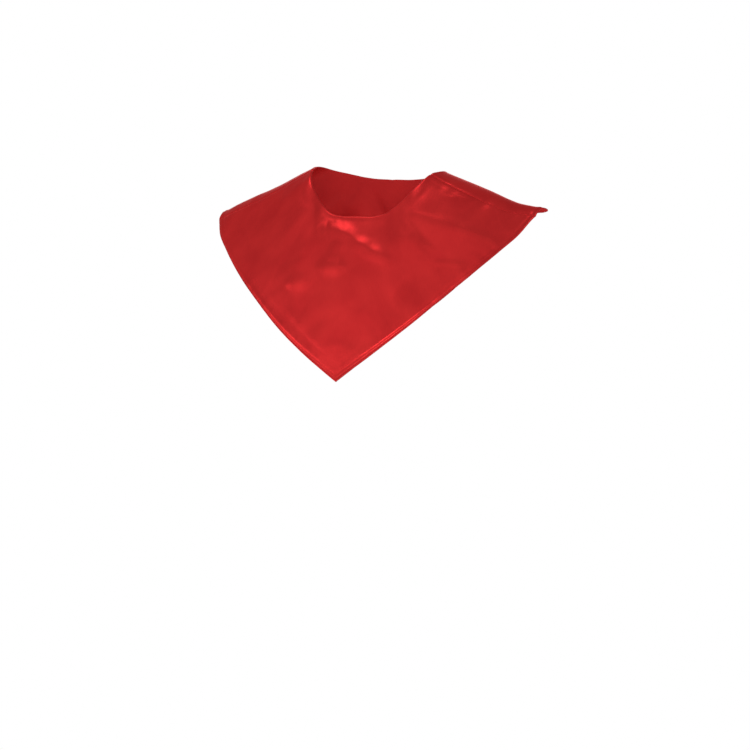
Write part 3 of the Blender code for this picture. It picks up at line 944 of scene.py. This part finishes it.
def floor_material(tone):
    """A plain pale studio floor, which turns into the white of the air far from the stole."""
    material, tree, shader = new_material("pale_floor")
    place = add_node(tree, "ShaderNodeTexCoord", (-5, 0))
    patches = use_group(tree, tone, (-4, 0), Patches=FLOOR_PATCHES)
    tree.links.new(place.outputs["Object"], patches.inputs["Place"])
    darker = tuple(FLOOR_DARKER * part for part in FLOOR_WHITE[:3]) + (1.0,)
    colour = mixed_colour(tree, (-2, 0), patches.outputs["Mask"], darker, FLOOR_WHITE)
    tree.links.new(colour, shader.inputs["Base Color"])
    set_inputs(shader, FLOOR_SETTINGS)
    far = add_node(tree, "ShaderNodeVectorMath", (-4, 2), operation="LENGTH")
    tree.links.new(place.outputs["Object"], far.inputs[0])
    fade = add_node(tree, "ShaderNodeMapRange", (-3, 2), interpolation_type="SMOOTHSTEP")
    set_inputs(fade, {"From Min": FLOOR_NEAR, "From Max": FLOOR_FAR})
    tree.links.new(far.outputs["Value"], fade.inputs["Value"])
    air = add_node(tree, "ShaderNodeEmission", (-1, 3))
    air.inputs["Strength"].default_value = AIR_WHITE
    blend = add_node(tree, "ShaderNodeMixShader", (1, 1))
    tree.links.new(fade.outputs["Result"], blend.inputs["Fac"])
    tree.links.new(shader.outputs["BSDF"], blend.inputs[1])
    tree.links.new(air.outputs["Emission"], blend.inputs[2])
    tree.links.new(blend.outputs["Shader"], tree.nodes["Material Output"].inputs["Surface"])
    return material


def build_floor(material):
    """A round pale floor below the stole."""
    vertices = [(0.0, 0.0, FLOOR_LEVEL)]
    for turn in np.linspace(0.0, 2.0 * math.pi, FLOOR_SIDES, endpoint=False):
        vertices.append((FLOOR_RADIUS * math.cos(turn), FLOOR_RADIUS * math.sin(turn), FLOOR_LEVEL))
    mesh = bpy.data.meshes.new("studio_floor")
    faces = [(0, 1 + i, 1 + (i + 1) % FLOOR_SIDES) for i in range(FLOOR_SIDES)]
    mesh.from_pydata(vertices, [], faces)
    mesh.materials.append(material)
    floor = bpy.data.objects.new("studio_floor", mesh)
    bpy.context.scene.collection.objects.link(floor)


def build_lights():
    """Soft studio lights, each at a turn and a rise round the stole and aimed at it."""
    for row in LIGHTS:
        light = dict(zip(LIGHT_COLUMNS, row))
        turn, rise = math.radians(light["turn"]), math.radians(light["rise"])
        towards = Vector((math.sin(turn) * math.cos(rise), -math.cos(turn) * math.cos(rise), math.sin(rise)))
        data = bpy.data.lights.new(light["name"], "AREA")
        data.shape = "DISK"
        data.size = light["size"]
        data.energy = light["power"]
        lamp = bpy.data.objects.new(light["name"], data)
        lamp.location = towards * light["distance"] + Vector((0.0, 0.0, LIGHT_AIM))
        lamp.rotation_euler = towards.to_track_quat("Z", "Y").to_euler()
        lamp.visible_camera = False
        bpy.context.scene.collection.objects.link(lamp)
    bpy.context.scene.view_settings.view_transform = "Standard"


def build_air():
    """Pale air round the studio: white where it is seen, and softer where it lights the cloth."""
    world = bpy.data.worlds.new("studio_air")
    world.use_nodes = True
    tree = world.node_tree
    seen = add_node(tree, "ShaderNodeLightPath", (-3, 0))
    strength = add_node(tree, "ShaderNodeMapRange", (-2, 0))
    set_inputs(strength, {"To Min": AIR_LIGHT, "To Max": AIR_WHITE})
    tree.links.new(seen.outputs["Is Camera Ray"], strength.inputs["Value"])
    tree.links.new(strength.outputs["Result"], tree.nodes["Background"].inputs["Strength"])
    tree.nodes["Background"].inputs["Color"].default_value = (1.0, 1.0, 1.0, 1.0)
    bpy.context.scene.world = world


def build_camera():
    """The camera at the photograph's viewing angle: level, and turned towards the left shoulder."""
    back = Vector((math.sin(VIEW_TURN), -math.cos(VIEW_TURN), 0.0))
    right = Vector((math.cos(VIEW_TURN), math.sin(VIEW_TURN), 0.0))
    middle = 0.5 * FRAME_PIXELS
    aside = (middle - ORIGIN_PIXEL[0]) * PIXEL
    below = (middle - ORIGIN_PIXEL[1]) * PIXEL
    data = bpy.data.cameras.new("photo_camera")
    data.sensor_width = SENSOR
    data.lens = SENSOR * VIEW_DISTANCE / (PIXEL * FRAME_PIXELS)
    data.clip_end = CLIP_FAR
    camera = bpy.data.objects.new("photo_camera", data)
    camera.location = back * VIEW_DISTANCE + right * aside + Vector((0.0, 0.0, -below))
    camera.rotation_euler = (0.5 * math.pi, 0.0, VIEW_TURN)
    bpy.context.scene.collection.objects.link(camera)
    bpy.context.scene.camera = camera


def main():
    """Set up the picture, the finishes and the studio, then sew the panels and their stitches."""
    build_camera()
    tone = uneven_tone_group()
    grain = thread_grain_group()
    satin = satin_material(grain, tone)
    thread = thread_material(grain)
    build_floor(floor_material(tone))
    build_lights()
    build_air()
    stitches = stitch_tree(thread)
    sewn = {name: sew_panel(name, satin) for name in ("front", "back")}
    for name, other in (("front", "back"), ("back", "front")):
        panel, piece, area, size = sewn[name]
        rows = sew_stitches(panel, stitches, thread)


main()
